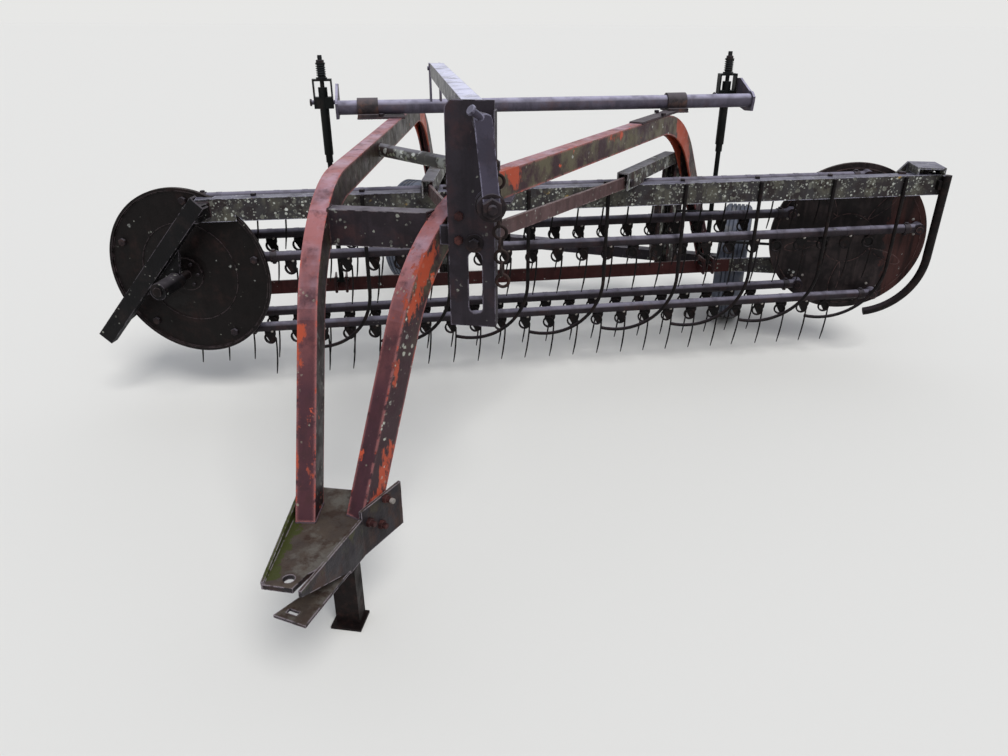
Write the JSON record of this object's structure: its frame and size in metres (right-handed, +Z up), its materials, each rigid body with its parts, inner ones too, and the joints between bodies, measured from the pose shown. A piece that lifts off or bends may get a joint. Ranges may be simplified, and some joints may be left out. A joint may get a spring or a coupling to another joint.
{
  "type": "rotary hay rake",
  "caption": "Towed side-delivery hay rake: an oblique reel of coil-tine bars between two spinning heads, hung under an arched two-wheel carriage with jack lift.",
  "frame": {"origin": "centre of the hitch pin hole, on the middle plane of the hitch plate", "axes": "+Z up, +Y to the rear along the direction of travel, +X to the right seen from the hitch"},
  "size_m": [3.6342, 3.6724, 1.4182],
  "materials": {
    "arch_paint": "faded, worn",
    "frame_paint": "faded",
    "frame_steel": "weathered",
    "drawbar_steel": "rusted",
    "chain_steel": "rusted",
    "belt_rubber": "glossy",
    "sheave_iron": "worn",
    "cast_iron": "weathered",
    "tube_steel": "weathered",
    "jack_green": "weathered",
    "tyre": "dusty",
    "rim_paint": "faded",
    "beam_red": "worn",
    "link_steel": "rusted",
    "head_steel": "rusted",
    "rod_steel": "rusted",
    "tine_steel": "rusted"
  },
  "bodies": {
    "carriage": {"drawbar_plate": "drawbar_steel", "drawbar_jaw": "drawbar_steel", "stand_bracket": "drawbar_steel", "arch_left": "arch_paint", "arch_right": "arch_paint", "cross_channel": "frame_paint", "brace_pipe": "tube_steel", "axle_beam": "frame_paint", "bearing_left": "cast_iron", "bearing_right": "cast_iron", "crank_post": "frame_paint", "screw_channel": "frame_paint", "crank_screw": "frame_steel", "safety_chain": "chain_steel", "drive_gearbox": "cast_iron", "drive_belt": "belt_rubber", "drag_posts": "frame_steel"},
    "rockshaft": {"rockshaft": "tube_steel"},
    "jack_left": {"jack_left": "jack_green"},
    "jack_right": {"jack_right": "jack_green"},
    "parking_stand": {"parking_stand": "drawbar_steel"},
    "wheel_left": {"tyre_left": "tyre", "rim_left": "rim_paint"},
    "wheel_right": {"tyre_right": "tyre", "rim_right": "rim_paint"},
    "drive_sheave": {"drive_sheave": "sheave_iron"},
    "reel_frame": {"top_beam": "frame_steel", "front_head_arm": "frame_steel", "front_link": "frame_steel", "rear_beam": "beam_red", "jack_lugs": "frame_steel", "rear_bracket": "frame_steel", "end_guard": "tube_steel", "strippers": "rod_steel", "cross_arch_left": "frame_steel", "cross_arch_right": "frame_steel", "drag_lugs": "frame_steel"},
    "drag_link_left": {"drag_link_left": "link_steel"},
    "drag_link_right": {"drag_link_right": "link_steel"},
    "front_head": {"front_head": "head_steel"},
    "rear_head": {"rear_head": "head_steel", "rear_sheave": "sheave_iron"},
    "bar_1": {"bar_1": "tube_steel", "tines_1": "tine_steel"},
    "bar_2": {"bar_2": "tube_steel", "tines_2": "tine_steel"},
    "bar_3": {"bar_3": "tube_steel", "tines_3": "tine_steel"},
    "bar_4": {"bar_4": "tube_steel", "tines_4": "tine_steel"},
    "bar_5": {"bar_5": "tube_steel", "tines_5": "tine_steel"}
  },
  "joints": [
    {"name": "reel_lift", "type": "slide", "parent": "carriage", "child": "reel_frame", "axis": [0, 0, 1], "range_m": [-0.04, 0.08], "deforming": ["drive_belt"]},
    {"name": "rockshaft_turn", "type": "hinge", "parent": "carriage", "child": "rockshaft", "pos_m": [-0.09406, 1.9826, 0.798], "axis": [0.9542, 0.299, 0], "range_deg": [-16.4, 32.39]},
    {"name": "jack_left_pivot", "type": "hinge", "parent": "rockshaft", "child": "jack_left", "pos_m": [-0.58244, 1.98665, 0.80323], "axis": [0.9542, 0.299, 0], "range_deg": [-32.39, 16.4]},
    {"name": "jack_right_pivot", "type": "hinge", "parent": "rockshaft", "child": "jack_right", "pos_m": [1.12835, 2.52278, 0.80323], "axis": [0.9542, 0.299, 0], "range_deg": [-32.39, 16.4]},
    {"name": "drag_link_right_turn", "type": "hinge", "parent": "carriage", "child": "drag_link_right", "pos_m": [0.31793, 0.89987, 0.58], "axis": [0.9416, -0.3367, 0], "range_deg": [-2.3, 4.29]},
    {"name": "drag_link_left_turn", "type": "hinge", "parent": "carriage", "child": "drag_link_left", "pos_m": [0.24393, 0.89987, 0.58], "axis": [0.9333, 0.3592, 0], "range_deg": [-2.91, 5.51]},
    {"name": "reel_spin", "type": "hinge", "parent": "reel_frame", "child": "front_head", "pos_m": [-1.09, 1.58, 0.16], "axis": [0, 1, 0], "continuous": true},
    {"name": "rear_head_spin", "type": "hinge", "parent": "reel_frame", "child": "rear_head", "pos_m": [1.78417, 2.55271, 0.16], "axis": [0, 1, 0], "continuous": true},
    {"name": "bar_1_pivot", "type": "hinge", "parent": "front_head", "child": "bar_1", "pos_m": [-0.79184, 1.616, 0.22884], "axis": [0, 1, 0], "continuous": true},
    {"name": "bar_2_pivot", "type": "hinge", "parent": "front_head", "child": "bar_2", "pos_m": [-1.06333, 1.616, 0.46484], "axis": [0, 1, 0], "continuous": true},
    {"name": "bar_3_pivot", "type": "hinge", "parent": "front_head", "child": "bar_3", "pos_m": [-1.37167, 1.616, 0.27956], "axis": [0, 1, 0], "continuous": true},
    {"name": "bar_4_pivot", "type": "hinge", "parent": "front_head", "child": "bar_4", "pos_m": [-1.29075, 1.616, -0.07094], "axis": [0, 1, 0], "continuous": true},
    {"name": "bar_5_pivot", "type": "hinge", "parent": "front_head", "child": "bar_5", "pos_m": [-0.9324, 1.616, -0.10229], "axis": [0, 1, 0], "continuous": true},
    {"name": "drive_sheave_spin", "type": "hinge", "parent": "carriage", "child": "drive_sheave", "pos_m": [0.94, 2.66371, 0.16], "axis": [0, 1, 0], "continuous": true},
    {"name": "wheel_left_spin", "type": "hinge", "parent": "carriage", "child": "wheel_left", "pos_m": [-0.58526, 3.30815, -0.115], "axis": [0.9848, -0.1736, 0], "continuous": true},
    {"name": "wheel_right_spin", "type": "hinge", "parent": "carriage", "child": "wheel_right", "pos_m": [1.32526, 2.97127, -0.115], "axis": [0.9848, -0.1736, 0], "continuous": true},
    {"name": "parking_stand_swing", "type": "hinge", "parent": "carriage", "child": "parking_stand", "pos_m": [-0.005, 0.33, -0.065], "axis": [1, 0, 0], "range_deg": [0, 90]}
  ],
  "couplings": [
    {"joint": "rockshaft_turn", "follows": "reel_lift", "rad_per_m": 6.98},
    {"joint": "jack_left_pivot", "follows": "reel_lift", "rad_per_m": -6.98},
    {"joint": "jack_right_pivot", "follows": "reel_lift", "rad_per_m": -6.98},
    {"joint": "drag_link_right_turn", "follows": "reel_lift", "rad_per_m": 0.87105},
    {"joint": "drag_link_left_turn", "follows": "reel_lift", "rad_per_m": 1.1372},
    {"joint": "rear_head_spin", "follows": "reel_spin", "ratio": 1},
    {"joint": "drive_sheave_spin", "follows": "reel_spin", "ratio": 1.1667},
    {"joint": "bar_1_pivot", "follows": "reel_spin", "ratio": -1},
    {"joint": "bar_2_pivot", "follows": "reel_spin", "ratio": -1},
    {"joint": "bar_3_pivot", "follows": "reel_spin", "ratio": -1},
    {"joint": "bar_4_pivot", "follows": "reel_spin", "ratio": -1},
    {"joint": "bar_5_pivot", "follows": "reel_spin", "ratio": -1}
  ]
}
